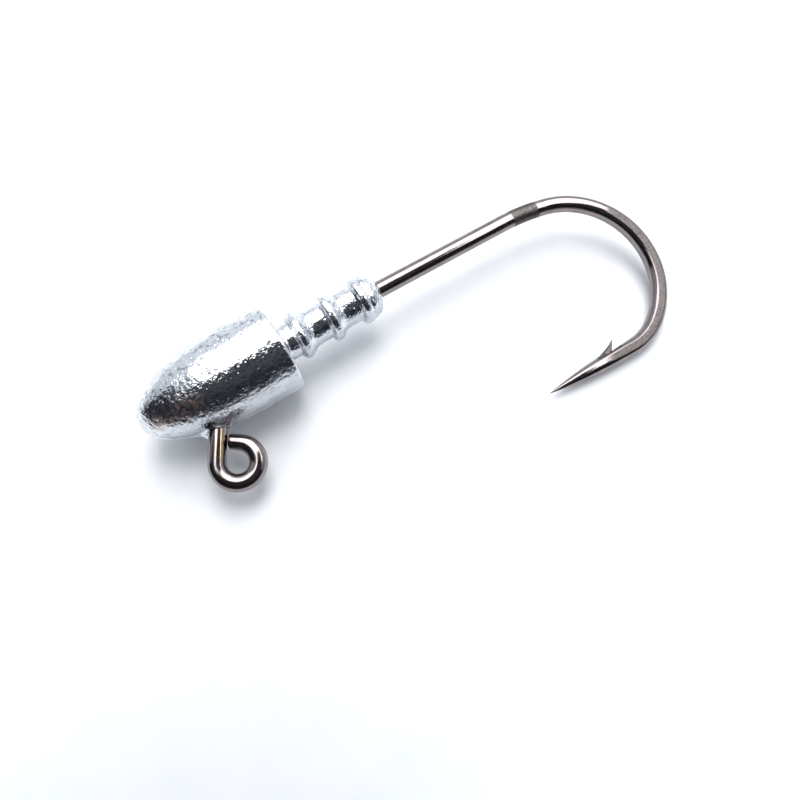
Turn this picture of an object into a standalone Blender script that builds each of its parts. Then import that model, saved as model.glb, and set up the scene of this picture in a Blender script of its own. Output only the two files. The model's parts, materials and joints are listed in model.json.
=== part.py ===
"""Jig head for fishing: a forged steel jig hook with a bare lead head cast round it.

The jig lies on a table on its side. +X runs from the nose to the hook's bend, along the
casting's axis, and +Z is up. The origin is the middle of its footprint, on the table.
Two pieces: the hook, one length of wire from eye to point, and the lead casting, which is
a bullet-shaped head and a ribbed collar in one.
"""

import math

import bmesh
import bpy
from mathutils import Matrix, Vector

MM = 0.001

# Casting, measured along its own axis from the flat rear face of the head.
HEAD_RADIUS = 4.5 * MM
HEAD_LENGTH = 14.8 * MM
NOSE_LENGTH = 11.3 * MM  # the domed part in front of the short cylinder
NOSE_POWER = 2.2  # 2 would be a half ellipse, and more is blunter
REAR_EDGE_RADIUS = 0.35 * MM
COLLAR_LENGTH = 11.2 * MM
COLLAR_RADIUS = 1.85 * MM
COLLAR_ROOT_FILLET = 0.65 * MM
COLLAR_END_DOME = 1.9 * MM
RIB_COUNT = 3
RIB_HEIGHT = 0.6 * MM
RIB_PITCH = 3.45 * MM
FIRST_RIB = 1.95 * MM
RIB_STEEP_SIDE = 0.6 * MM  # faces the head, and stops a soft bait sliding off
RIB_EASY_SIDE = 1.3 * MM

# Hook, measured along the wire.
WIRE_RADIUS = 0.86 * MM
SHANK_LENGTH = 26.2 * MM  # from the head's rear face to the start of the bend
BEND_ARCS = ((24.1 * MM, 11.9), (8.97 * MM, 134.8), (6.28 * MM, 35.0))  # radius, degrees
POINT_LEG = 10.3 * MM  # from the end of the bend to the tip
NEEDLE_LENGTH = 9.3 * MM
NEEDLE_POWER = 2.1  # 1 would be a plain cone, and more is fuller behind the tip
JIG_ANGLE = 60.0  # between the eye's leg and the shank's line
JIG_BEND_RADIUS = 2.5 * MM
JIG_VERTEX = 6.3 * MM  # from the head's rear face to where the two lines cross
EYE_LEG = 8.3 * MM  # from that crossing to the start of the eye
EYE_RADIUS = 1.87 * MM  # to the middle of the wire
EYE_TURN = 265.0
EYE_END_TAPER = 0.86
EYE_END_GAP = 0.12 * MM  # between the wire's cut end and the leg

# The bend and the barb are forged: two flats parallel to the hook's plane.
FORGED_HALF_THICKNESS = 0.79 * MM
FORGED_FROM = 38.0 * MM  # along the wire from the head's rear face
FORGED_TO = 59.4 * MM
FORGED_FADE = 1.6 * MM

# The barb is a sliver sliced from the wire's inner side and lifted.
BARB_ROOT_FROM_TIP = 7.45 * MM
BARB_HEIGHT = 1.06 * MM
BARB_SWEEP = 1.4 * MM  # how far its tip leans back towards the bend
BARB_ROOT_LENGTH = 2.4 * MM
BARB_TIP_LENGTH = 0.12 * MM
BARB_FLARE = 6.2 * MM  # how fast its front edge runs out into the wire
BARB_HOLLOW = 1.65  # 1 would be a straight front edge, and more is hollower
BARB_HALF_THICKNESS = 0.5 * MM
BARB_THIN_END = 0.16  # thickness at the barb's tip, as a share of the thickness at its root
BARB_SINK = 0.45  # depth of its root past the wire's middle, as a share of the wire's radius
BARB_STATIONS = 11
SLICE_DEPTH = 0.28 * MM
SLICE_LENGTH = 3.1 * MM

CAST_GAP = 0.3 * MM  # between the hook and the casting
SHANK_TURN = 1.5  # the hook sits this many degrees off the casting's axis

WIRE_SIDES = 16
CAST_SIDES = 40
TIP_SIZE = 0.02  # radius left at a sharp tip, as a share of the wire's


def clear_scene():
    for obj in list(bpy.data.objects):
        bpy.data.objects.remove(obj)


def metal(name, colour, roughness):
    material = bpy.data.materials.new(name)
    material.use_nodes = True
    shader = material.node_tree.nodes["Principled BSDF"]
    shader.inputs["Base Color"].default_value = (*colour, 1.0)
    shader.inputs["Metallic"].default_value = 1.0
    shader.inputs["Roughness"].default_value = roughness
    material.diffuse_color = (*colour, 1.0)
    return material


def skin(name, rings, material=None):
    """A closed solid through rings of points, all with the same count, capped flat at both ends."""
    mesh = bmesh.new()
    loops = [[mesh.verts.new(point) for point in ring] for ring in rings]
    for first, second in zip(loops, loops[1:]):
        count = len(first)
        for k in range(count):
            after = (k + 1) % count
            mesh.faces.new((first[k], first[after], second[after], second[k]))
    mesh.faces.new(reversed(loops[0]))
    mesh.faces.new(loops[-1])
    bmesh.ops.recalc_face_normals(mesh, faces=mesh.faces)
    data = bpy.data.meshes.new(name)
    mesh.to_mesh(data)
    mesh.free()
    data.shade_smooth()
    data.set_sharp_from_angle(angle=math.radians(35))
    if material:
        data.materials.append(material)
    obj = bpy.data.objects.new(name, data)
    bpy.context.scene.collection.objects.link(obj)
    return obj


def boolean(obj, operation, other):
    modifier = obj.modifiers.new(f"{operation.title()} {other.name}", "BOOLEAN")
    modifier.operation = operation
    modifier.solver = "EXACT"
    modifier.object = other
    other.hide_render = True
    other.display_type = "WIRE"


def smoothstep(value):
    value = min(max(value, 0.0), 1.0)
    return value * value * (3 - 2 * value)


# ---------------------------------------------------------------- wire


def trace(heading, moves):
    """Walks from the shank's line at the head's rear face.

    A move is (length, 0) for a straight or (radius, degrees) for an arc, which turns left.
    Gives (x, y, heading, distance) at each station.
    """
    x = y = walked = 0.0
    stations = [(x, y, heading, walked)]
    for size, turn in moves:
        steps = max(1, math.ceil(abs(turn) / 9))
        angle = math.radians(turn) / steps
        if not turn:
            steps = max(1, math.ceil(size / (6 * MM)))
        for _ in range(steps):
            step = size * abs(angle) if turn else size / steps
            chord = 2 * size * math.sin(abs(angle) / 2) if turn else step
            heading += angle / 2
            x += chord * math.cos(heading)
            y += chord * math.sin(heading)
            heading += angle / 2
            walked += step
            stations.append((x, y, heading, walked))
    return stations


def eye_moves():
    """From the rear face forwards: jig bend, leg, eye and the wire's cut end."""
    tangent = JIG_BEND_RADIUS * math.tan(math.radians(JIG_ANGLE) / 2)
    overrun = math.radians(EYE_TURN - 270)
    end_x = -EYE_RADIUS + WIRE_RADIUS + EYE_END_GAP
    last_straight = (-EYE_RADIUS * math.sin(overrun) - end_x) / math.cos(overrun)
    return (
        (JIG_VERTEX - tangent, 0),
        (JIG_BEND_RADIUS, JIG_ANGLE),
        (EYE_LEG - tangent, 0),
        (EYE_RADIUS, EYE_TURN),
        (last_straight, 0),
    )


def bend_moves():
    """From the rear face backwards: shank, bend and the leg that ends in the point."""
    bend = [(radius, -turn) for radius, turn in BEND_ARCS]
    before_needle = [((POINT_LEG - NEEDLE_LENGTH) / 3, 0)] * 3
    needle = [(NEEDLE_LENGTH / 12, 0)] * 12
    return [(SHANK_LENGTH, 0), *bend, *before_needle, *needle]


def ring(x, y, heading, half_width, half_thickness, inner_width=None):
    """Points round the wire. Its width lies in the hook's plane, with the bend's inner side first."""
    across = Vector((math.sin(heading), -math.cos(heading), 0))
    points = []
    for k in range(WIRE_SIDES):
        angle = 2 * math.pi * (k + 0.5) / WIRE_SIDES
        side = half_width * math.cos(angle)
        if inner_width is not None:
            side = min(side, inner_width)
        up = half_width * math.sin(angle)
        up = min(max(up, -half_thickness), half_thickness)
        points.append(Vector((x, y, up)) + across * side)
    return points


def forging(walked):
    """0 where the wire is round, 1 where it has its full flats."""
    start = smoothstep((walked - FORGED_FROM) / FORGED_FADE + 0.5)
    end = smoothstep((FORGED_TO - walked) / FORGED_FADE + 0.5)
    return start * end


def point_ring(x, y, heading, walked, length):
    """The wire at a station from the shank to the tip, with its flats, slice and needle."""
    from_tip = length - walked
    taper = 1 - (1 - max(min(from_tip / NEEDLE_LENGTH, 1.0), 0.0)) ** NEEDLE_POWER
    half_width = WIRE_RADIUS * max(taper, TIP_SIZE)
    flat = WIRE_RADIUS + (FORGED_HALF_THICKNESS - WIRE_RADIUS) * forging(walked)
    into_slice = 1 - (from_tip - BARB_ROOT_FROM_TIP) / SLICE_LENGTH
    inner_width = None
    if 0 < into_slice <= 1:
        inner_width = half_width - SLICE_DEPTH * into_slice
    return ring(x, y, heading, half_width, min(half_width, flat), inner_width)


def eye_ring(x, y, heading, walked, length):
    """The wire at a station from the rear face to the cut end, slimmer over the eye's last third."""
    last_third = 2 * EYE_RADIUS
    slimming = smoothstep(1 - (length - walked) / last_third)
    half_width = WIRE_RADIUS * (1 + (EYE_END_TAPER - 1) * slimming)
    return ring(x, y, heading, half_width, half_width)


def barb(tip_x, tip_y, heading):
    """A tapering blade with its root sunk in the wire, a leaning rear edge and a hollow front."""
    back = Vector((-math.cos(heading), -math.sin(heading), 0))
    inwards = Vector((math.sin(heading), -math.cos(heading), 0))
    root = Vector((tip_x, tip_y, 0)) + back * BARB_ROOT_FROM_TIP
    sunk = -BARB_SINK * WIRE_RADIUS
    reach = WIRE_RADIUS + BARB_HEIGHT - SLICE_DEPTH
    rings = []
    for step in range(BARB_STATIONS):
        share = step / (BARB_STATIONS - 1)
        rear = root + back * BARB_SWEEP * share + inwards * (sunk + (reach - sunk) * share)
        chord = min(BARB_ROOT_LENGTH, BARB_TIP_LENGTH + BARB_FLARE * (1 - share) ** BARB_HOLLOW)
        thick = BARB_HALF_THICKNESS * (1 - (1 - BARB_THIN_END) * share)
        rings.append(
            [
                rear - back * chord * along + Vector((0, 0, thick * up))
                for along, up in ((0, 0.8), (0.5, 1), (1, 0.25), (1, -0.25), (0.5, -1), (0, -0.8))
            ]
        )
    return skin("barb_blade", rings)


def hook(material):
    front = trace(math.pi, eye_moves())
    rear = trace(0.0, bend_moves())
    front_length = front[-1][3]
    rear_length = rear[-1][3]
    rings = []
    for x, y, heading, walked in reversed(front[1:]):
        # The eye's stations are walked backwards, so their heading is turned round.
        rings.append(eye_ring(x, y, heading + math.pi, walked, front_length))
    for x, y, heading, walked in rear:
        rings.append(point_ring(x, y, heading, walked, rear_length))
    body = skin("jig_hook", rings, material)
    tip_x, tip_y, heading, _ = rear[-1]
    blade = barb(tip_x, tip_y, heading)
    boolean(body, "UNION", blade)
    return body, blade


def wire_channel():
    """The hook's room in the casting, from behind the collar to beside the head."""
    radius = WIRE_RADIUS + CAST_GAP
    jig_bend, turn, leg = eye_moves()[:3]
    front = trace(math.pi, (jig_bend, turn, (leg[0] - 0.5 * WIRE_RADIUS, 0)))
    rings = [ring(x, y, heading + math.pi, radius, radius) for x, y, heading, _ in reversed(front)]
    rings.append(ring(COLLAR_LENGTH + 2 * MM, 0, 0, radius, radius))
    return skin("wire_channel", rings)


# ---------------------------------------------------------------- casting


def nose_profile():
    """(x, radius) from the nose's tip to the cylinder, crowded towards the tip."""
    profile = []
    steps = 14
    for k in range(steps):
        share = math.cos(0.5 * math.pi * (k + 0.35) / (steps + 0.35))
        radius = HEAD_RADIUS * math.sqrt(1 - share**NOSE_POWER)
        profile.append((NOSE_LENGTH - HEAD_LENGTH - NOSE_LENGTH * share, radius))
    profile.append((NOSE_LENGTH - HEAD_LENGTH, HEAD_RADIUS))
    return profile


def rear_edge_profile():
    """The rounded rim between the head's side and its flat rear face."""
    profile = []
    for k in range(4):
        angle = math.radians(90 * k / 3)
        x = -REAR_EDGE_RADIUS * (1 - math.sin(angle))
        profile.append((x, HEAD_RADIUS - REAR_EDGE_RADIUS * (1 - math.cos(angle))))
    return profile


def root_fillet_profile():
    """The hollow corner between the rear face and the collar."""
    profile = []
    for k in range(4):
        angle = math.radians(90 * k / 3)
        x = COLLAR_ROOT_FILLET * (1 - math.cos(angle))
        profile.append((x, COLLAR_RADIUS + COLLAR_ROOT_FILLET * (1 - math.sin(angle))))
    return profile


def collar_radius(x):
    """Radius of the collar at x: a straight neck with ribs, steep towards the head."""
    radius = COLLAR_RADIUS
    for k in range(RIB_COUNT):
        offset = x - FIRST_RIB - k * RIB_PITCH
        if -RIB_STEEP_SIDE < offset <= 0:
            radius += RIB_HEIGHT * (1 - (-offset / RIB_STEEP_SIDE) ** 3)
        elif 0 < offset < RIB_EASY_SIDE:
            radius += RIB_HEIGHT * math.cos(0.5 * math.pi * offset / RIB_EASY_SIDE) ** 2
    return radius


def collar_profile():
    profile = []
    for k in range(RIB_COUNT):
        crest = FIRST_RIB + k * RIB_PITCH
        shares = (-1, -0.85, -0.55, 0, 0.25, 0.5, 0.75, 1)
        for share in shares:
            x = crest + share * (RIB_STEEP_SIDE if share < 0 else RIB_EASY_SIDE)
            if x < COLLAR_LENGTH - COLLAR_END_DOME:
                profile.append((x, collar_radius(x)))
    start = COLLAR_LENGTH - COLLAR_END_DOME
    at_start = collar_radius(start)
    for k in range(7):
        angle = math.radians(80 * k / 6)
        profile.append((start + COLLAR_END_DOME * math.sin(angle), at_start * math.cos(angle)))
    return profile


def casting(material):
    profile = nose_profile() + rear_edge_profile() + root_fillet_profile() + collar_profile()
    rings = []
    for x, radius in profile:
        rings.append(
            [
                Vector((x, radius * math.sin(turn), radius * math.cos(turn)))
                for turn in (2 * math.pi * k / CAST_SIDES for k in range(CAST_SIDES))
            ]
        )
    return skin("lead_casting", rings, material)


# ---------------------------------------------------------------- pose


def resting_roll(hook_points):
    """How far the jig rolls about the casting's axis before the bend meets the table.

    It rests on the side of the head, whose axis is then level, and on the forged bend.
    """
    depth = max(-point.y for point in hook_points if point.z > 0.99 * FORGED_HALF_THICKNESS)
    slope = math.hypot(depth, FORGED_HALF_THICKNESS)
    return math.asin(HEAD_RADIUS / slope) - math.atan2(FORGED_HALF_THICKNESS, depth)


def main():
    clear_scene()
    lead = metal("bare_lead", (0.62, 0.63, 0.65), 0.3)
    black_nickel = metal("black_nickel", (0.11, 0.095, 0.09), 0.16)

    cast = casting(lead)
    wire, blade = hook(black_nickel)
    channel = wire_channel()
    boolean(cast, "DIFFERENCE", channel)

    pivot = Matrix.Translation((COLLAR_LENGTH, 0, 0))
    turned = pivot @ Matrix.Rotation(-math.radians(SHANK_TURN), 4, "Z") @ pivot.inverted()
    roll = resting_roll([turned @ vertex.co for vertex in wire.data.vertices])
    lying = Matrix.Rotation(roll, 4, "X") @ turned

    points = [lying @ vertex.co for vertex in wire.data.vertices]
    points += [vertex.co for vertex in cast.data.vertices]
    middle = [(min(p[k] for p in points) + max(p[k] for p in points)) / 2 for k in range(2)]

    pose = bpy.data.objects.new("jig_pose", None)
    bpy.context.scene.collection.objects.link(pose)
    pose.location = (-middle[0], -middle[1], HEAD_RADIUS)
    for obj in (cast, wire, blade, channel):
        obj.parent = pose
    for obj in (wire, blade, channel):
        obj.matrix_local = lying


main()
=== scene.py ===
"""Looks of the jig head: a bare lead casting on a black nickel hook, lying on a pale table."""

import json
import math

import bpy
import numpy as np
from mathutils import Matrix, Vector


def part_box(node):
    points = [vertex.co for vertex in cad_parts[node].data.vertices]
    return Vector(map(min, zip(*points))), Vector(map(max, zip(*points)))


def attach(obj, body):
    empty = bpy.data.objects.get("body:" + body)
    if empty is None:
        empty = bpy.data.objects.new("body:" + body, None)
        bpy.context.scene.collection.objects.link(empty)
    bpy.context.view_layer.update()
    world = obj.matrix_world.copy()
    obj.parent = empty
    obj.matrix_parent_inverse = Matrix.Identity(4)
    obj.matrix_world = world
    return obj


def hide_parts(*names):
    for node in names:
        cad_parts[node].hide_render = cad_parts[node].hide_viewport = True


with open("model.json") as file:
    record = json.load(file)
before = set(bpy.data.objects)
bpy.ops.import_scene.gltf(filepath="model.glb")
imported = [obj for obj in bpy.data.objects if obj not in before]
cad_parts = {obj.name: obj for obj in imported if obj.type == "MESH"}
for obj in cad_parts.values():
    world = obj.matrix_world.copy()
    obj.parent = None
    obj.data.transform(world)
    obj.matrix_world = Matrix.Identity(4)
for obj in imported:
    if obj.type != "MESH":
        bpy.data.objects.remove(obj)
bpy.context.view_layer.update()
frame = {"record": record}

MM = 0.001

# ------------------------------------------------------------------ sizes, in mm
# The dimensions are the CAD source's, apart from EYE_END_GAP, which is smaller here. The local
# frame is the casting's: its origin is the middle of the head's rear face and +X runs along the
# casting's axis towards the bend.

HEAD_RADIUS = 4.5
HEAD_LENGTH = 14.8
NOSE_LENGTH = 11.3
NOSE_POWER = 2.2
REAR_EDGE_RADIUS = 0.35
COLLAR_LENGTH = 11.2
COLLAR_RADIUS = 1.85
COLLAR_ROOT_FILLET = 0.65
COLLAR_END_DOME = 1.9
RIB_COUNT = 3
RIB_HEIGHT = 0.6
RIB_PITCH = 3.45
FIRST_RIB = 1.95
RIB_STEEP_SIDE = 0.6
RIB_EASY_SIDE = 1.3

WIRE_RADIUS = 0.86
SHANK_LENGTH = 26.2
BEND_ARCS = ((24.1, 11.9), (8.97, 134.8), (6.28, 35.0))
POINT_LEG = 10.3
NEEDLE_LENGTH = 9.3
NEEDLE_POWER = 2.1
JIG_ANGLE = 60.0
JIG_BEND_RADIUS = 2.5
JIG_VERTEX = 6.3
EYE_LEG = 8.3
EYE_RADIUS = 1.87
EYE_TURN = 265.0
EYE_END_TAPER = 0.86
EYE_END_GAP = 0.03  # between the wire's cut end and the leg

FORGED_HALF_THICKNESS = 0.79
FORGED_FROM = 38.0
FORGED_TO = 59.4
FORGED_FADE = 1.6

BARB_ROOT_FROM_TIP = 7.45
BARB_HEIGHT = 1.06
BARB_SWEEP = 1.4
BARB_ROOT_LENGTH = 2.4
BARB_TIP_LENGTH = 0.12
BARB_FLARE = 6.2
BARB_HOLLOW = 1.65
BARB_HALF_THICKNESS = 0.5
BARB_THIN_END = 0.16
BARB_SINK = 0.45
SLICE_DEPTH = 0.28
SLICE_LENGTH = 3.1

SHANK_TURN = 1.5  # degrees between the hook's shank and the casting's axis
HOOK_ROLL = 11.626  # degrees about the axis, with the bend down on the table

# ------------------------------------------------------------------ detail of the hook, in mm

WIRE_SIDES = 96
FRONT_STEP = 0.11  # between the wire's rings from the rear face to the eye
REAR_STEP = 0.15  # between its rings from the rear face to the point
FLAT_EDGE = 0.045  # rounding where a forged flat meets the wire's round side
SLICE_EDGE = 0.03  # rounding beside the slice that lifted the barb
DULL_FROM = 0.965  # where a flat's dull finish starts, as a share of its height
DULL_FADE = 0.025
UNPRESSED = 9.0  # more than the wire's radius, so it leaves the wire round
UNPRESSED_MARGIN = 0.06
UNSLICED_MARGIN = 0.1
NEEDLE_BLUNTNESS = 0.012  # the tip's width as a share of the wire's
EYE_END_SLANT = 0.13  # the cut end's slope, with its outer side nearer the leg
EYE_SLANT_LENGTH = 1.2
EYE_BEVEL_LENGTH = 0.22
EYE_BEVEL_DEPTH = 0.55

BARB_SECTIONS = 40
BARB_SIDES = 24
BARB_FRONT_SLOPE = 3.2
BARB_FRONT_POWER = 0.6
BARB_BACK_SLOPE = 6.0
BARB_BACK_WIDTH = 0.7
BARB_SQUARENESS = 0.45
DULL_BARB_BEHIND = 0.3  # from the barb's root to the middle of its dull part
DULL_BARB_REACH = 1.5
DULL_BARB_FROM = 0.55  # as a share of the wire's radius
SHARP_ANGLE = 32.0  # degrees

# ------------------------------------------------------------------ detail of the casting, in mm

HEAD_SIDES = 236
CAST_RINGS = 400
NOSE_TIP_ANGLE = 0.002
NOSE_POINTS = 600
EDGE_POINTS = 40
NECK_POINTS = 900
DOME_POINTS = 120
DOME_SWEEP = 83.0  # degrees, to a small flat end inside the wire
COLLAR_CLOSENESS = 1.25  # how much closer the rings are behind HEAD_END
HEAD_END = -0.5
TURN_SAMPLES = 7201
PARTING_CLOSENESS = 3.5
PARTING_SPREAD = 3.0  # degrees
TABLE_CLEARANCE = 0.002

# Height, size and seed of the waves in the skin.
SKIN_WAVES = ((0.034, 2.7, 11), (0.020, 1.05, 12), (0.011, 0.5, 13), (0.0055, 0.26, 14))
FLOW_WAVES = (0.012, (2.4, 0.32, 0.32), 15)
FLOW_AT_AXIS = 0.3
FLOW_FADE = 3.0
# Depth, cell size, largest radius, share of cells with a pit, and seed.
SKIN_PITS = ((0.036, 0.85, 0.24, 0.42, 21), (0.020, 0.42, 0.12, 0.38, 31))
SMALLEST_PIT = 0.45  # as a share of the largest

PARTING_HEIGHT = 0.075
PARTING_HALF_WIDTH = 0.085
PARTING_START = 1.2  # from the axis
PARTING_WAVES = (0.8, 0.5, (1.1, 9, 9), 41)  # mean, height, size and seed
PARTING_STEP = 0.010
PARTING_STEP_WIDTH = 0.05

DRAWN_UP_HEIGHT = 0.20
DRAWN_UP_REACH = 0.26
DRAWN_UP_WAVES = (0.7, 0.55, 51)
LEG_LEAVES_AT = 4.9  # along the leg
# Height, radius, stretch and offset from where the leg leaves the head.
LEG_LUMP = (0.42, 0.42, (1, 1, 1), (-1.25, -0.1, 0.05))
LEG_FIN = (0.22, 0.3, (1.4, 1, 0.5), (1.25, 0.2, 0.1))

ROUGH_END_LENGTH = 1.9
ROUGH_END_WAVES = ((0.075, 0.62, 61), (0.035, 0.3, 62))
KNOB_HEIGHT = 0.30
KNOB_RADIUS = 0.42
KNOB_FROM_END = 1.0
KNOB_FROM_AXIS = 1.9
KNOB_LIFT = 0.5

# ------------------------------------------------------------------ camera

CAMERA_TARGET = (-4.62, -2.34, 0.0)
CAMERA_AZIMUTH = -33.45
CAMERA_ELEVATION = 68.35
CAMERA_DISTANCE = 65.7
CAMERA_LENS = 29.56
CAMERA_SENSOR = 36.0
CAMERA_CLIP = (0.005, 20.0)  # m

# ------------------------------------------------------------------ finishes, with linear colours

LEAD_BLOTCHES = (
    (0.30, (0.62, 0.645, 0.69)),
    (0.47, (0.73, 0.75, 0.785)),
    (0.62, (0.80, 0.815, 0.84)),
)
LEAD_FLECKS = ((0.34, 0.55), (0.45, 1.0))
LEAD_STRIPES = ((0.30, 0.72), (0.48, 1.0))
LEAD_STRIPE_SHARE = 0.55
LEAD_SPECKS = (0.93, 0.94, 0.96)
# Painted shade on the casting's near, down-facing flank, for the shaded table it reflects.
FLANK_FACING = (0.0, -0.99, -0.14)
FLANK_PAINTED_SHADE_DARK = (0.26, 0.27, 0.30)
FLANK_PAINTED_SHADE_PALE = (0.60, 0.62, 0.66)
FLANK_PAINTED_SHADE_SHARE = 0.7
STAIN = (0.46, 0.25, 0.20)
STAIN_FROM = (2.0, -1.3, 1.7)  # from the nose, in mm
STAIN_TO = (5.6, -2.3, 2.9)
STAIN_RADIUS = 1.3
LEAD_ROUGHNESS = (0.12, 0.06)  # in the dark blotches, and in the bright ones
STAIN_ROUGHNESS = 0.35
FLANK_ROUGHNESS = 0.03
LEAD_FLOW = (0.22, 1.0, 1.0)  # draws the streaks out along the axis
LEAD_PIT_BUMP = 0.018  # mm, as are the other bumps
LEAD_GRAIN_BUMP = 0.062
LEAD_STREAK_BUMP = 0.045
LEAD_STREAK_STRENGTH = (0.15, 1.0)  # off the near flank, and on it
LEAD_FINE_BUMP = 0.003

NICKEL_CLOUDS = (
    (0.35, (0.235, 0.205, 0.205)),
    (0.50, (0.265, 0.232, 0.232)),
    (0.66, (0.295, 0.262, 0.26)),
)
NICKEL_LINES = ((0.32, 0.72), (0.60, 1.0))
NICKEL_LINE_SHARE = 0.35
NICKEL_MOTTLE = ((0.36, 0.45), (0.60, 1.15))
NICKEL_MOTTLE_SHARE = 0.8
FORGED_COLOUR = (0.074, 0.068, 0.067)
FORGED_SHARE = 0.85
FORGED_ROUGHNESS = 0.30
NICKEL_ROUGHNESS = (0.085, 0.125)
NICKEL_DRAW = (0.35, 9.0, 1.0)  # draws the fine lines out along the wire
NICKEL_LINE_BUMP = 0.0012
NICKEL_GRAIN_BUMP = 0.003
# Painted highlight: a golden strip down one side of the leg, where its warm highlight falls.
PAINTED_GOLDEN_HIGHLIGHT = (0.42, 0.33, 0.22)
HIGHLIGHT_SIDE = 0.95  # round the wire, in mm, as are the next three
HIGHLIGHT_WIDTHS = (0.15, 0.5)  # full to here, and gone there
HIGHLIGHT_FROM = (-14.8, -13.6)  # fading in along the wire
HIGHLIGHT_TO = (-9.0, -7.0)  # fading out

TABLE_COLOURS = ((0.3, (0.83, 0.845, 0.86)), (0.7, (0.86, 0.87, 0.88)))
TABLE_ROUGHNESS = 0.75
TABLE_SPECULAR = 0.2
TABLE_REACH = 3.0  # m
SKY_COLOURS = ((0.0, (0.30, 0.31, 0.34)), (0.5, (0.52, 0.55, 0.60)), (1.0, (0.88, 0.93, 1.0)))
SKY_STRENGTH = 1.08
SKY_ELEVATION = 25.0  # degrees, of its brightest part
DARK_CARD = (0.012, 0.013, 0.018)
LEVEL_CARD = (0.045, 0.045, 0.052)
PANEL = (1.0, 0.99, 0.97)
KEY = (1.0, 0.995, 0.985)
FILL = (0.96, 0.98, 1.0)


# ================================================================== numbers


def smoothstep(value):
    value = np.clip(value, 0.0, 1.0)
    return value * value * (3 - 2 * value)


def hashed(cells, seed):
    """A fixed number from 0 to 1 for each whole-numbered cell."""
    mixed = cells[..., 0] * 374761393 + cells[..., 1] * 668265263 + cells[..., 2] * 1440662683
    mixed = (mixed + seed * 974711) & 0xFFFFFFFF
    mixed = ((mixed ^ (mixed >> 13)) * 1274126177) & 0xFFFFFFFF
    mixed = ((mixed ^ (mixed >> 16)) * 2246822519) & 0xFFFFFFFF
    return ((mixed ^ (mixed >> 15)) & 0xFFFFF) / 0xFFFFF


def noise(points, size, seed):
    """Smooth noise from -1 to 1 with features of about this size."""
    scaled = points / np.asarray(size)
    cell = np.floor(scaled).astype(np.int64)
    part = scaled - cell
    part = part**3 * (part * (part * 6 - 15) + 10)
    total = 0.0
    for corner in np.ndindex(2, 2, 2):
        weight = np.prod(np.where(corner, part, 1 - part), axis=-1)
        total = total + weight * hashed(cell + np.array(corner), seed)
    return total * 2 - 1


def pits(points, size, radius, share, seed):
    """0 outside, up to 1 in the middle of round pits, one or none to a cell of this size."""
    scaled = points / size
    cell = np.floor(scaled).astype(np.int64)
    depth = np.zeros(len(points))
    for step in np.ndindex(3, 3, 3):
        near = cell + np.array(step) - 1
        centre = near + np.stack([hashed(near, seed + k) for k in range(3)], axis=-1)
        apart = np.linalg.norm(scaled - centre, axis=-1) * size
        reach = radius * (SMALLEST_PIT + (1 - SMALLEST_PIT) * hashed(near, seed + 3))
        here = np.where(hashed(near, seed + 4) < share, 1 - (apart / reach) ** 2, 0)
        depth = np.maximum(depth, np.clip(here, 0, 1) * reach / radius)
    return depth


def mesh_object(name, points, faces, to_world, material):
    data = bpy.data.meshes.new(name)
    data.from_pydata([tuple(point) for point in points], [], faces)
    data.transform(to_world)
    data.validate()
    data.shade_smooth()
    data.materials.append(material)
    obj = bpy.data.objects.new(name, data)
    bpy.context.scene.collection.objects.link(obj)
    return obj


def lofted(rings, count):
    """Faces of a closed skin through equal rings of points, with a flat cap at each end."""
    faces = []
    for first in range(rings - 1):
        start = first * count
        for k in range(count):
            after = (k + 1) % count
            faces.append((start + k, start + after, start + count + after, start + count + k))
    faces.append(tuple(reversed(range(count))))
    faces.append(tuple(range((rings - 1) * count, rings * count)))
    return faces


# ================================================================== places

mounts = {mount["name"]: mount for mount in frame["record"]["mounts"]}
cast_low, cast_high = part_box("lead_casting")
REAR_FACE_X = mounts["lure_shoulder"]["pos_m"][0]
AXIS_POINT = Vector(
    (REAR_FACE_X, (cast_low.y + cast_high.y) / 2, (cast_low.z + cast_high.z) / 2)
)
CAST_TO_WORLD = Matrix.Translation(AXIS_POINT) @ Matrix.Scale(MM, 4)
PIVOT = Matrix.Translation((COLLAR_LENGTH, 0, 0))
HOOK_TO_CAST = (
    Matrix.Rotation(math.radians(HOOK_ROLL), 4, "X")
    @ PIVOT
    @ Matrix.Rotation(-math.radians(SHANK_TURN), 4, "Z")
    @ PIVOT.inverted()
)
HOOK_TO_WORLD = CAST_TO_WORLD @ HOOK_TO_CAST


# ================================================================== materials


def node(tree, kind, values=None, **settings):
    made = tree.nodes.new(kind)
    for name, value in settings.items():
        setattr(made, name, value)
    for name, value in (values or {}).items():
        if isinstance(value, bpy.types.NodeSocket):
            tree.links.new(value, made.inputs[name])
        else:
            made.inputs[name].default_value = value
    return made


def ramp(tree, value, stops):
    """A smooth colour ramp through (place, colour) stops, or (place, grey) ones."""
    made = tree.nodes.new("ShaderNodeValToRGB")
    tree.links.new(value, made.inputs["Fac"])
    elements = made.color_ramp.elements
    while len(elements) < len(stops):
        elements.new(0.5)
    for element, (place, colour) in zip(elements, stops):
        element.position = place
        element.color = (*colour, 1) if isinstance(colour, tuple) else (colour, colour, colour, 1)
    return made.outputs["Color"]


def mix_colour(tree, share, first, second, blend="MIX"):
    made = node(tree, "ShaderNodeMix", data_type="RGBA", blend_type=blend)
    for index, value in ((0, share), (6, first), (7, second)):
        if isinstance(value, bpy.types.NodeSocket):
            tree.links.new(value, made.inputs[index])
        elif index == 0:
            made.inputs[index].default_value = value
        else:
            made.inputs[index].default_value = (*value, 1)
    return made.outputs[2]


def maths(tree, operation, first, second=0.0, clamp=False):
    return node(
        tree, "ShaderNodeMath", {0: first, 1: second}, operation=operation, use_clamp=clamp
    ).outputs[0]


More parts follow.
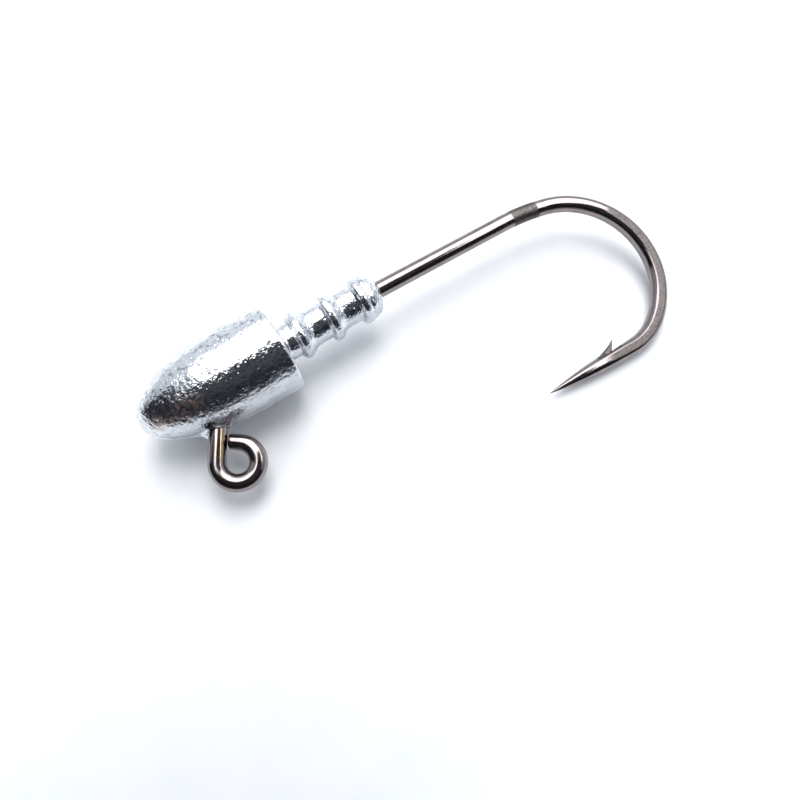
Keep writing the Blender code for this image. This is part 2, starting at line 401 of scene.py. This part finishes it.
def in_range(tree, value, low, high, to_low, to_high):
    return node(
        tree,
        "ShaderNodeMapRange",
        {"Value": value, "From Min": low, "From Max": high, "To Min": to_low, "To Max": to_high},
    ).outputs[0]


def new_material(name):
    material = bpy.data.materials.new(name)
    material.use_nodes = True
    tree = material.node_tree
    return material, tree, tree.nodes["Principled BSDF"]


def in_mm(tree, stretch=(1, 1, 1)):
    """Object coordinates in mm, squeezed by these factors."""
    coords = node(tree, "ShaderNodeTexCoord").outputs["Object"]
    return node(
        tree,
        "ShaderNodeMapping",
        {"Vector": coords, "Scale": tuple(k / MM for k in stretch)},
    ).outputs["Vector"]


def noise_node(tree, vector, scale, detail, roughness):
    values = {"Vector": vector, "Scale": scale, "Detail": detail, "Roughness": roughness}
    return node(tree, "ShaderNodeTexNoise", values).outputs["Fac"]


def voronoi_node(tree, vector, scale):
    return node(
        tree, "ShaderNodeTexVoronoi", {"Vector": vector, "Scale": scale, "Randomness": 1.0}
    ).outputs["Distance"]


def bumped(tree, height, depth, strength=1.0, below=None):
    """A bump this deep in mm, laid over the one below it."""
    values = {"Height": height, "Distance": depth * MM, "Strength": strength}
    if below is not None:
        values["Normal"] = below
    return node(tree, "ShaderNodeBump", values).outputs["Normal"]


def near_line(tree, place, start, end, radius):
    """1 near the line from start to end, in mm, fading to 0 at this radius."""
    start, end = Vector(start), Vector(end)
    along = (end - start).normalized()
    offset = node(
        tree, "ShaderNodeVectorMath", {0: place, 1: tuple(start)}, operation="SUBTRACT"
    ).outputs[0]
    travelled = node(
        tree, "ShaderNodeVectorMath", {0: offset, 1: tuple(along)}, operation="DOT_PRODUCT"
    ).outputs["Value"]
    length = (end - start).length
    held = node(
        tree, "ShaderNodeClamp", {"Value": travelled, "Min": 0.0, "Max": length}
    ).outputs[0]
    foot = node(
        tree, "ShaderNodeVectorMath", {0: tuple(along), "Scale": held}, operation="SCALE"
    ).outputs[0]
    apart = node(
        tree, "ShaderNodeVectorMath", {0: offset, 1: foot}, operation="DISTANCE"
    ).outputs["Value"]
    return in_range(tree, apart, 0.0, radius, 1.0, 0.0)


def lead_material():
    """Freshly cast bare lead: mirror bright, finely grained and blotched, dulled in places, and
    painted darker on its near flank as shade.
    """
    material, tree, shader = new_material("bare_lead")
    place = in_mm(tree)
    flow = in_mm(tree, LEAD_FLOW)
    blotch = noise_node(tree, place, scale=0.75, detail=5.0, roughness=0.62)
    grain = noise_node(tree, place, scale=2.9, detail=2.5, roughness=0.55)
    streak = noise_node(tree, flow, scale=2.4, detail=2.0, roughness=0.5)
    fine = noise_node(tree, place, scale=13.0, detail=3.0, roughness=0.6)

    colour = ramp(tree, blotch, LEAD_BLOTCHES)
    colour = mix_colour(tree, 1.0, colour, ramp(tree, grain, LEAD_FLECKS), "MULTIPLY")
    stripes = ramp(tree, streak, LEAD_STRIPES)
    colour = mix_colour(tree, LEAD_STRIPE_SHARE, colour, stripes, "MULTIPLY")

    # Painted shade: the near, down-facing flank is painted darker, in streaks, for the shaded table
    # it reflects; it is also duller than the rest.
    facing = node(tree, "ShaderNodeNewGeometry").outputs["Normal"]
    flank = node(
        tree, "ShaderNodeVectorMath", {0: facing, 1: FLANK_FACING}, operation="DOT_PRODUCT"
    ).outputs["Value"]
    flank = in_range(tree, flank, 0.70, 0.92, 0.0, 1.0)
    painted_flank_shade = mix_colour(tree, streak, FLANK_PAINTED_SHADE_DARK, FLANK_PAINTED_SHADE_PALE)
    colour = mix_colour(tree, maths(tree, "MULTIPLY", flank, FLANK_PAINTED_SHADE_SHARE), colour, painted_flank_shade)

    nose = AXIS_POINT / MM + Vector((-HEAD_LENGTH, 0, 0))
    stain = near_line(
        tree, place, nose + Vector(STAIN_FROM), nose + Vector(STAIN_TO), STAIN_RADIUS
    )
    ragged = in_range(tree, grain, 0.38, 0.62, 0.0, 1.4)
    ragged = maths(tree, "MULTIPLY", stain, ragged, clamp=True)
    colour = mix_colour(tree, ragged, colour, STAIN)

    dust = voronoi_node(tree, place, scale=2.2)
    specks = maths(tree, "MULTIPLY", in_range(tree, dust, 0.05, 0.16, 1.0, 0.0), blotch)
    colour = mix_colour(tree, specks, colour, LEAD_SPECKS)

    rough = in_range(tree, blotch, 0.35, 0.65, *LEAD_ROUGHNESS)
    finely = in_range(tree, fine, 0.35, 0.7, -0.02, 0.03)
    stained = maths(tree, "MULTIPLY", ragged, STAIN_ROUGHNESS)
    flanked = maths(tree, "MULTIPLY", flank, FLANK_ROUGHNESS)
    for more in (finely, stained, flanked):
        rough = maths(tree, "ADD", rough, more, clamp=True)

    pitted = in_range(tree, voronoi_node(tree, place, scale=2.3), 0.08, 0.24, 0.0, 1.0)
    streaked = in_range(tree, flank, 0.0, 1.0, *LEAD_STREAK_STRENGTH)
    bump = bumped(tree, pitted, LEAD_PIT_BUMP)
    bump = bumped(tree, grain, LEAD_GRAIN_BUMP, below=bump)
    bump = bumped(tree, streak, LEAD_STREAK_BUMP, strength=streaked, below=bump)
    bump = bumped(tree, fine, LEAD_FINE_BUMP, below=bump)
    tree.links.new(colour, shader.inputs["Base Color"])
    tree.links.new(rough, shader.inputs["Roughness"])
    tree.links.new(bump, shader.inputs["Normal"])
    shader.inputs["Metallic"].default_value = 1.0
    return material


def nickel_material():
    """Black nickel on drawn wire: glossy, finely lined along it, dull on the forged flats, and with
    a painted golden highlight down one side of the leg.
    """
    material, tree, shader = new_material("black_nickel")
    place = in_mm(tree)
    wire = node(tree, "ShaderNodeUVMap", uv_map="wire").outputs["UV"]
    drawn_place = node(
        tree, "ShaderNodeMapping", {"Vector": wire, "Scale": NICKEL_DRAW}
    ).outputs["Vector"]
    drawn = noise_node(tree, drawn_place, scale=1.0, detail=4.0, roughness=0.6)
    cloud = noise_node(tree, place, scale=0.9, detail=4.0, roughness=0.6)
    grain = noise_node(tree, place, scale=9.0, detail=3.0, roughness=0.65)
    mottle = noise_node(tree, place, scale=5.0, detail=2.0, roughness=0.6)
    forged = node(tree, "ShaderNodeAttribute", attribute_name="forged").outputs["Fac"]

    colour = ramp(tree, cloud, NICKEL_CLOUDS)
    lines = ramp(tree, drawn, NICKEL_LINES)
    colour = mix_colour(tree, NICKEL_LINE_SHARE, colour, lines, "MULTIPLY")
    pressed = maths(tree, "MULTIPLY", forged, FORGED_SHARE)
    colour = mix_colour(tree, pressed, colour, FORGED_COLOUR)

    # Painted highlight: a golden strip along one side of the leg, where its warm highlight falls.
    place_on_wire = node(tree, "ShaderNodeSeparateXYZ", {"Vector": wire})
    along, around = place_on_wire.outputs["X"], place_on_wire.outputs["Y"]
    golden_highlight = maths(tree, "ABSOLUTE", maths(tree, "SUBTRACT", around, HIGHLIGHT_SIDE))
    golden_highlight = in_range(tree, golden_highlight, *HIGHLIGHT_WIDTHS, 1.0, 0.0)
    for ends, before, after in ((HIGHLIGHT_FROM, 0.0, 1.0), (HIGHLIGHT_TO, 1.0, 0.0)):
        golden_highlight = maths(tree, "MULTIPLY", golden_highlight, in_range(tree, along, *ends, before, after))
    colour = mix_colour(tree, golden_highlight, colour, PAINTED_GOLDEN_HIGHLIGHT)

    speckle = ramp(tree, mottle, NICKEL_MOTTLE)
    mottled = maths(tree, "MULTIPLY", forged, NICKEL_MOTTLE_SHARE)
    colour = mix_colour(tree, mottled, colour, speckle, "MULTIPLY")

    rough = in_range(tree, cloud, 0.3, 0.7, *NICKEL_ROUGHNESS)
    rough = maths(tree, "ADD", rough, maths(tree, "MULTIPLY", forged, FORGED_ROUGHNESS))
    rough = maths(tree, "ADD", rough, in_range(tree, grain, 0.3, 0.7, -0.02, 0.025))

    bump = bumped(tree, drawn, NICKEL_LINE_BUMP)
    bump = bumped(tree, grain, NICKEL_GRAIN_BUMP, below=bump)
    tree.links.new(colour, shader.inputs["Base Color"])
    tree.links.new(rough, shader.inputs["Roughness"])
    tree.links.new(bump, shader.inputs["Normal"])
    shader.inputs["Metallic"].default_value = 1.0
    return material


# ================================================================== hook


def trace(heading, moves, step):
    """Rows of (x, y, heading, distance) from the rear face along straights and left-turning arcs.

    A move is (length, 0) for a straight or (radius, degrees) for an arc.
    """
    x = y = walked = 0.0
    rows = [(x, y, heading, walked)]
    for size, turn in moves:
        length = size * math.radians(abs(turn)) if turn else size
        steps = max(2, math.ceil(length / step))
        angle = math.radians(turn) / steps
        chord = 2 * size * math.sin(abs(angle) / 2) if turn else length / steps
        for _ in range(steps):
            heading += angle / 2
            x += chord * math.cos(heading)
            y += chord * math.sin(heading)
            heading += angle / 2
            walked += length / steps
            rows.append((x, y, heading, walked))
    return np.array(rows)


def eye_moves():
    tangent = JIG_BEND_RADIUS * math.tan(math.radians(JIG_ANGLE) / 2)
    overrun = math.radians(EYE_TURN - 270)
    end_x = -EYE_RADIUS + WIRE_RADIUS + EYE_END_GAP
    last_straight = (-EYE_RADIUS * math.sin(overrun) - end_x) / math.cos(overrun)
    return (
        (JIG_VERTEX - tangent, 0),
        (JIG_BEND_RADIUS, JIG_ANGLE),
        (EYE_LEG - tangent, 0),
        (EYE_RADIUS, EYE_TURN),
        (last_straight, 0),
    )


def bend_moves():
    bend = [(radius, -turn) for radius, turn in BEND_ARCS]
    return [(SHANK_LENGTH, 0), *bend, (POINT_LEG, 0)]


def lesser(first, second, blend):
    """The smaller of two values, rounded where they cross."""
    near = np.clip(blend - np.abs(first - second), 0, None) / blend
    return np.minimum(first, second) - near * near * blend / 4


def wire_rings(rows, half_width, half_thickness, inner_width, slant=0.0):
    """Points round the wire at each row. Its width lies in the hook's plane."""
    angle = 2 * math.pi * (np.arange(WIRE_SIDES) + 0.5) / WIRE_SIDES
    side = half_width[:, None] * np.cos(angle)
    side = lesser(side, inner_width[:, None], SLICE_EDGE)
    up = half_width[:, None] * np.abs(np.sin(angle))
    up = lesser(up, half_thickness[:, None], FLAT_EDGE) * np.sign(np.sin(angle))
    heading = rows[:, 2, None]
    ahead = slant * (side + half_width[:, None])
    x = rows[:, 0, None] + np.sin(heading) * side + np.cos(heading) * ahead
    y = rows[:, 1, None] - np.cos(heading) * side + np.sin(heading) * ahead
    return np.stack([x, y, up], axis=-1)


def barb_blade(tip_x, tip_y, heading):
    """The barb: a sliver lifted from the wire's inner side, hollow in front and sharp."""
    back = np.array([-math.cos(heading), -math.sin(heading), 0])
    inwards = np.array([math.sin(heading), -math.cos(heading), 0])
    root = np.array([tip_x, tip_y, 0]) + back * BARB_ROOT_FROM_TIP
    sunk = -BARB_SINK * WIRE_RADIUS
    reach = WIRE_RADIUS + BARB_HEIGHT - SLICE_DEPTH
    points = []
    for share in np.linspace(0, 1, BARB_SECTIONS):
        rear = root + back * BARB_SWEEP * share + inwards * (sunk + (reach - sunk) * share)
        chord = min(BARB_ROOT_LENGTH, BARB_TIP_LENGTH + BARB_FLARE * (1 - share) ** BARB_HOLLOW)
        thick = BARB_HALF_THICKNESS * (1 - (1 - BARB_THIN_END) * share)
        for k in range(BARB_SIDES):
            turn = 2 * math.pi * k / BARB_SIDES
            along = 0.5 - 0.5 * math.cos(turn)
            # Full at the back, where the chisel cut it, and drawn to an edge at the front.
            full = min(1.0, BARB_FRONT_SLOPE * (1 - along)) ** BARB_FRONT_POWER
            full *= min(1.0, BARB_BACK_SLOPE * along + BARB_BACK_WIDTH)
            square = math.copysign(abs(math.sin(turn)) ** BARB_SQUARENESS, math.sin(turn))
            points.append(rear - back * chord * along + np.array([0, 0, thick * full * square]))
    return points, lofted(BARB_SECTIONS, BARB_SIDES)


def dull_barb(data, tip):
    """Gives the barb the dull finish of the forged flats, where it stands out from the wire."""
    tip_x, tip_y, heading, _ = tip
    to_hook = np.array(HOOK_TO_WORLD.inverted())
    places = np.empty(3 * len(data.vertices), np.float32)
    data.vertices.foreach_get("co", places)
    places = places.reshape(-1, 3) @ to_hook[:3, :3].T + to_hook[:3, 3]
    offset = places[:, :2] - np.array([tip_x, tip_y])
    from_tip = -offset @ np.array([math.cos(heading), math.sin(heading)])
    inwards = offset @ np.array([math.sin(heading), -math.cos(heading)])
    beside = np.abs(from_tip - BARB_ROOT_FROM_TIP - DULL_BARB_BEHIND) < DULL_BARB_REACH
    proud = beside & (inwards > DULL_BARB_FROM * WIRE_RADIUS)
    values = np.empty(len(data.vertices), np.float32)
    attribute = data.attributes["forged"]
    attribute.data.foreach_get("value", values)
    attribute.data.foreach_set("value", np.where(proud, np.float32(1), values))


def build_hook(material):
    front = trace(math.pi, eye_moves(), FRONT_STEP)
    rear = trace(0.0, bend_moves(), REAR_STEP)

    from_end = front[-1, 3] - front[:, 3]
    slimming = smoothstep(1 - from_end / (2 * EYE_RADIUS))
    front_width = WIRE_RADIUS * (1 + (EYE_END_TAPER - 1) * slimming)
    bevel = np.clip(1 - from_end / EYE_BEVEL_LENGTH, 0, 1)
    front_width = front_width * np.sqrt(1 - EYE_BEVEL_DEPTH * bevel**2)
    eye_rows = front[1:][::-1].copy()
    eye_rows[:, 2] += math.pi
    eye_width = front_width[1:][::-1]
    unlimited = np.full(len(eye_rows), UNPRESSED)
    slant = EYE_END_SLANT * np.clip(1 - from_end[1:][::-1, None] / EYE_SLANT_LENGTH, 0, 1)
    rings = [wire_rings(eye_rows, eye_width, unlimited, unlimited, slant)]
    along = [-eye_rows[:, 3]]
    forged = [np.zeros(len(eye_rows))]

    from_tip = rear[-1, 3] - rear[:, 3]
    taper = 1 - (1 - np.clip(from_tip / NEEDLE_LENGTH, 0, 1)) ** NEEDLE_POWER
    half_width = WIRE_RADIUS * np.maximum(taper, NEEDLE_BLUNTNESS)
    start = smoothstep((rear[:, 3] - FORGED_FROM) / FORGED_FADE + 0.5)
    end = smoothstep((FORGED_TO - rear[:, 3]) / FORGED_FADE + 0.5)
    pressed = start * end
    round_height = WIRE_RADIUS + UNPRESSED_MARGIN
    thickness = round_height + (FORGED_HALF_THICKNESS - round_height) * pressed
    into_slice = 1 - (from_tip - BARB_ROOT_FROM_TIP) / SLICE_LENGTH
    sliced = (into_slice > 0) & (into_slice <= 1)
    inner = half_width + np.where(sliced, -SLICE_DEPTH * into_slice, UNSLICED_MARGIN)
    rings.append(wire_rings(rear, half_width, thickness, inner))
    along.append(rear[:, 3])
    forged.append(pressed)

    rings = np.concatenate(rings)
    along = np.concatenate(along)
    forged = np.concatenate(forged)
    points = rings.reshape(-1, 3)
    faces = lofted(len(rings), WIRE_SIDES)
    body = mesh_object("black_nickel_hook", points, faces, HOOK_TO_WORLD, material)

    data = body.data
    attribute = data.attributes.new("forged", "FLOAT", "POINT")
    half = np.abs(points[:, 2]) / FORGED_HALF_THICKNESS
    flat = np.repeat(forged, WIRE_SIDES) * smoothstep((half - DULL_FROM) / DULL_FADE)
    attribute.data.foreach_set("value", flat.astype(np.float32))

    layer = data.uv_layers.new(name="wire")
    corners = np.empty(len(data.loops), np.int32)
    data.loops.foreach_get("vertex_index", corners)
    turn = 2 * np.pi * WIRE_RADIUS * (corners % WIRE_SIDES) / WIRE_SIDES
    uv = np.stack([along[corners // WIRE_SIDES], turn], axis=-1)
    layer.data.foreach_set("uv", uv.astype(np.float32).ravel())

    tip_x, tip_y, heading, _ = rear[-1]
    blade_points, blade_faces = barb_blade(tip_x, tip_y, heading)
    blade = mesh_object("barb_blade", blade_points, blade_faces, HOOK_TO_WORLD, material)
    modifier = body.modifiers.new("barb", "BOOLEAN")
    modifier.operation = "UNION"
    modifier.solver = "EXACT"
    modifier.object = blade
    graph = bpy.context.evaluated_depsgraph_get()
    joined = bpy.data.meshes.new_from_object(body.evaluated_get(graph))
    body.modifiers.clear()
    body.data = joined
    joined.shade_smooth()
    joined.set_sharp_from_angle(angle=math.radians(SHARP_ANGLE))
    bpy.data.objects.remove(blade)
    dull_barb(joined, rear[-1])
    return body


# ================================================================== casting


def collar_radius(x):
    radius = np.full_like(x, COLLAR_RADIUS)
    for k in range(RIB_COUNT):
        offset = x - FIRST_RIB - k * RIB_PITCH
        steep = 1 - np.clip(-offset / RIB_STEEP_SIDE, 0, 1) ** 3
        easy = np.cos(0.5 * np.pi * np.clip(offset / RIB_EASY_SIDE, 0, 1)) ** 2
        radius += RIB_HEIGHT * np.where(offset <= 0, steep, easy)
    return radius


def casting_profile():
    """(x, radius) along the casting's outline, finely spaced."""
    share = np.cos(np.linspace(NOSE_TIP_ANGLE, 0.5 * np.pi, NOSE_POINTS))
    nose = (
        NOSE_LENGTH - HEAD_LENGTH - NOSE_LENGTH * share,
        HEAD_RADIUS * np.sqrt(1 - share**NOSE_POWER),
    )
    quarter = np.linspace(0, 0.5 * np.pi, EDGE_POINTS)
    rim = (
        -REAR_EDGE_RADIUS * (1 - np.sin(quarter)),
        HEAD_RADIUS - REAR_EDGE_RADIUS * (1 - np.cos(quarter)),
    )
    fillet = (
        COLLAR_ROOT_FILLET * (1 - np.cos(quarter)),
        COLLAR_RADIUS + COLLAR_ROOT_FILLET * (1 - np.sin(quarter)),
    )
    dome_start = COLLAR_LENGTH - COLLAR_END_DOME
    neck = np.linspace(COLLAR_ROOT_FILLET + 0.01, dome_start, NECK_POINTS)
    collar = (neck, collar_radius(neck))
    sweep = np.linspace(0, math.radians(DOME_SWEEP), DOME_POINTS)
    at_start = collar_radius(np.array([dome_start]))[0]
    dome = (dome_start + COLLAR_END_DOME * np.sin(sweep), at_start * np.cos(sweep))
    return np.concatenate([np.stack(part, axis=-1) for part in (nose, rim, fillet, collar, dome)])


def spaced(profile, count):
    """The outline at this many places, closer together behind the head, where it is shaped most."""
    step = np.linalg.norm(np.diff(profile, axis=0), axis=1)
    middle = (profile[1:, 0] + profile[:-1, 0]) / 2
    closeness = np.where(middle > HEAD_END, COLLAR_CLOSENESS, 1.0)
    walked = np.concatenate([[0], np.cumsum(step * closeness)])
    places = np.linspace(0, walked[-1], count)
    return np.stack([np.interp(places, walked, profile[:, k]) for k in range(2)], axis=-1)


def turns(count):
    """Angles about the axis, closer together along the two parting lines."""
    fine = np.linspace(0, 2 * np.pi, TURN_SAMPLES)
    apart = np.abs((fine - math.radians(HOOK_ROLL) + np.pi / 2) % np.pi - np.pi / 2)
    nearness = np.exp(-((apart / math.radians(PARTING_SPREAD)) ** 2))
    closeness = 1 + PARTING_CLOSENESS * nearness
    walked = np.concatenate([[0], np.cumsum((closeness[1:] + closeness[:-1]) / 2)])
    return np.interp(np.arange(count) / count * walked[-1], walked, fine)


def lump(points, middle, radius, stretch=(1, 1, 1)):
    """1 in the middle, and fading away beyond this radius."""
    return np.exp(-((np.linalg.norm((points - middle) / stretch, axis=1) / radius) ** 2))


def relief(points):
    """How far each point of the casting stands out, in mm: grain, pits, flow lines and flash."""
    out = np.zeros(len(points))
    for height, size, seed in SKIN_WAVES:
        out += height * noise(points, size, seed)
    height, size, seed = FLOW_WAVES
    below = smoothstep(FLOW_AT_AXIS - points[:, 2] / FLOW_FADE)
    out += height * noise(points, size, seed) * below
    for depth, size, radius, share, seed in SKIN_PITS:
        out -= depth * pits(points, size, radius, share, seed)

    # Where the two halves of the mould met.
    roll = math.radians(HOOK_ROLL)
    in_plane = np.array([0, math.cos(roll), math.sin(roll)])
    square = np.array([0, -in_plane[2], in_plane[1]])
    height = points @ square
    seam = np.exp(-((height / PARTING_HALF_WIDTH) ** 2))
    off_axis = smoothstep(np.abs(points @ in_plane) / PARTING_START)
    mean, swing, size, seed = PARTING_WAVES
    out += PARTING_HEIGHT * seam * off_axis * (mean + swing * noise(points, size, seed))
    out += PARTING_STEP * np.tanh(height / PARTING_STEP_WIDTH) * off_axis

    # Lead drawn up round the leg, with a lump in front of it and a fin of flash behind.
    lean = math.radians(JIG_ANGLE)
    leg_foot = HOOK_TO_CAST @ Vector((-JIG_VERTEX, 0, 0))
    leg_way = HOOK_TO_CAST.to_3x3() @ Vector((-math.cos(lean), -math.sin(lean), 0))
    leg_way.normalize()
    offset = points - np.array(leg_foot)
    along = offset @ np.array(leg_way)
    beside = np.linalg.norm(offset - along[:, None] * np.array(leg_way), axis=1)
    outside = np.clip(beside - WIRE_RADIUS, 0, None)
    drawn_up = DRAWN_UP_HEIGHT * np.exp(-((outside / DRAWN_UP_REACH) ** 2))
    swing, size, seed = DRAWN_UP_WAVES
    out += (along > 0) * drawn_up * (1 + swing * noise(points, size, seed))
    surface = np.array(leg_foot + leg_way * LEG_LEAVES_AT)
    for height, radius, stretch, aside in (LEG_LUMP, LEG_FIN):
        out += height * lump(points, surface + np.array(aside), radius, stretch)

    # The collar's rough end, where the mould closed on the shank.
    end = smoothstep(points[:, 0] - COLLAR_LENGTH + ROUGH_END_LENGTH)
    for height, size, seed in ROUGH_END_WAVES:
        out += end * height * noise(points, size, seed)
    knob = in_plane * KNOB_FROM_AXIS
    knob += np.array([COLLAR_LENGTH - KNOB_FROM_END, 0, KNOB_LIFT])
    out += KNOB_HEIGHT * lump(points, knob, KNOB_RADIUS)
    return out


def swept(along, outwards, angles):
    """An outline's points, or directions at them, turned about the axis to each of these angles."""
    x = np.outer(along, np.ones(len(angles)))
    y = np.outer(outwards, np.cos(angles))
    z = np.outer(outwards, np.sin(angles))
    return np.stack([x, y, z], axis=-1).reshape(-1, 3)


def build_casting(material):
    outline = spaced(casting_profile(), CAST_RINGS)
    slope = np.gradient(outline, axis=0)
    slope /= np.linalg.norm(slope, axis=1, keepdims=True)
    angles = turns(HEAD_SIDES)
    points = swept(outline[:, 0], outline[:, 1], angles)
    normals = swept(-slope[:, 1], slope[:, 0], angles)
    points = points + normals * relief(points)[:, None]
    points[:, 2] = np.maximum(points[:, 2], TABLE_CLEARANCE - HEAD_RADIUS)
    faces = lofted(CAST_RINGS, HEAD_SIDES)
    return mesh_object("bare_lead_casting", points, faces, CAST_TO_WORLD, material)


# ================================================================== studio


def towards(azimuth, elevation):
    a, e = math.radians(azimuth), math.radians(elevation)
    return Vector((math.sin(a) * math.cos(e), -math.cos(a) * math.cos(e), math.sin(e)))


def aim(obj, azimuth, elevation, distance, target):
    way = towards(azimuth, elevation)
    obj.location = target + way * distance
    obj.rotation_mode = "QUATERNION"
    obj.rotation_quaternion = (-way).to_track_quat("-Z", "Y")


def softbox(name, azimuth, elevation, distance, size, power, colour):
    """An area light that reflections don't see."""
    light = bpy.data.lights.new(name, "AREA")
    light.shape = "RECTANGLE"
    light.size, light.size_y = size
    light.energy = power
    light.color = colour
    obj = bpy.data.objects.new(name, light)
    bpy.context.scene.collection.objects.link(obj)
    aim(obj, azimuth, elevation, distance, Vector((0, 0, 0)))
    obj.visible_glossy = False


def dark_card(azimuth, spread, low, high, distance, across=24, up=12):
    """A dark curved card on the near side, which only reflections see."""
    material, _, shader = new_material("dark_card")
    shader.inputs["Base Color"].default_value = (*DARK_CARD, 1)
    shader.inputs["Roughness"].default_value = 1.0
    points, faces = [], []
    for j in range(up + 1):
        for i in range(across + 1):
            turn = azimuth - spread + 2 * spread * i / across
            points.append(towards(turn, low + (high - low) * j / up) * distance)
    for j in range(up):
        for i in range(across):
            k = j * (across + 1) + i
            faces.append((k, k + 1, k + across + 2, k + across + 1))
    card = mesh_object("dark_card", points, faces, Matrix.Identity(4), material)
    card.visible_camera = False
    card.visible_diffuse = False
    card.visible_shadow = False


def level_card(name, low, high, height, colour=LEVEL_CARD, glow=0.0, reflected=True):
    """A level card, in mm: one that only reflections see, or one that is only there to shade."""
    material, _, shader = new_material(name)
    shader.inputs["Base Color"].default_value = (*colour, 1)
    shader.inputs["Roughness"].default_value = 1.0
    shader.inputs["Emission Color"].default_value = (*colour, 1)
    shader.inputs["Emission Strength"].default_value = glow
    corners = ((low[0], low[1]), (low[0], high[1]), (high[0], high[1]), (high[0], low[1]))
    points = [(x * MM, y * MM, height * MM) for x, y in corners]
    card = mesh_object(name, points, [(0, 1, 2, 3)], Matrix.Identity(4), material)
    card.visible_camera = False
    card.visible_glossy = reflected
    card.visible_diffuse = not reflected
    card.visible_shadow = not reflected


def build_floor():
    material, tree, shader = new_material("table")
    place = in_mm(tree)
    mottle = noise_node(tree, place, scale=0.25, detail=3.0, roughness=0.5)
    tree.links.new(ramp(tree, mottle, TABLE_COLOURS), shader.inputs["Base Color"])
    shader.inputs["Roughness"].default_value = TABLE_ROUGHNESS
    shader.inputs["Specular IOR Level"].default_value = TABLE_SPECULAR
    signs = ((-1, -1), (1, -1), (1, 1), (-1, 1))
    points = [(TABLE_REACH * x, TABLE_REACH * y, 0) for x, y in signs]
    mesh_object("table", points, [(0, 1, 2, 3)], Matrix.Identity(4), material)


def build_world():
    world = bpy.data.worlds.new("studio")
    bpy.context.scene.world = world
    world.use_nodes = True
    tree = world.node_tree
    background = tree.nodes["Background"]
    way = node(tree, "ShaderNodeTexCoord").outputs["Generated"]
    far = node(
        tree,
        "ShaderNodeVectorMath",
        {0: way, 1: tuple(towards(CAMERA_AZIMUTH + 180, SKY_ELEVATION))},
        operation="DOT_PRODUCT",
    ).outputs["Value"]
    sky = ramp(tree, in_range(tree, far, -0.5, 0.9, 0.0, 1.0), SKY_COLOURS)
    tree.links.new(sky, background.inputs["Color"])
    background.inputs["Strength"].default_value = SKY_STRENGTH


def build_camera():
    camera = bpy.data.cameras.new("camera")
    camera.sensor_width = CAMERA_SENSOR
    camera.lens = CAMERA_LENS
    camera.clip_start, camera.clip_end = CAMERA_CLIP
    obj = bpy.data.objects.new("camera", camera)
    bpy.context.scene.collection.objects.link(obj)
    target = Vector(CAMERA_TARGET) * MM
    aim(obj, CAMERA_AZIMUTH, CAMERA_ELEVATION, CAMERA_DISTANCE * MM, target)
    bpy.context.scene.camera = obj


# ================================================================== scene

build_camera()
hook = build_hook(nickel_material())
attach(hook, "root")
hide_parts("jig_hook")

casting = build_casting(lead_material())
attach(casting, "root")
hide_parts("lead_casting")

build_floor()
build_world()
dark_card(azimuth=-42, spread=80, low=2, high=54, distance=0.4)
level_card("near_card", low=(-80, -80), high=(34, -1.5), height=63)
level_card("mat", low=(-400, -400), high=(400, -28), height=0.3)
level_card("panel", low=(-150, -300), high=(550, 400), height=450, colour=PANEL, glow=3.8)
level_card("flag", low=(-75, -50), high=(-5, 3), height=64, reflected=False)
softbox("key", CAMERA_AZIMUTH + 180, 60, distance=0.5, size=(0.30, 0.42), power=2.2, colour=KEY)
softbox("fill", 0, 90, distance=1.0, size=(2.4, 2.4), power=7.5, colour=FILL)
bpy.context.scene.view_settings.view_transform = "Standard"
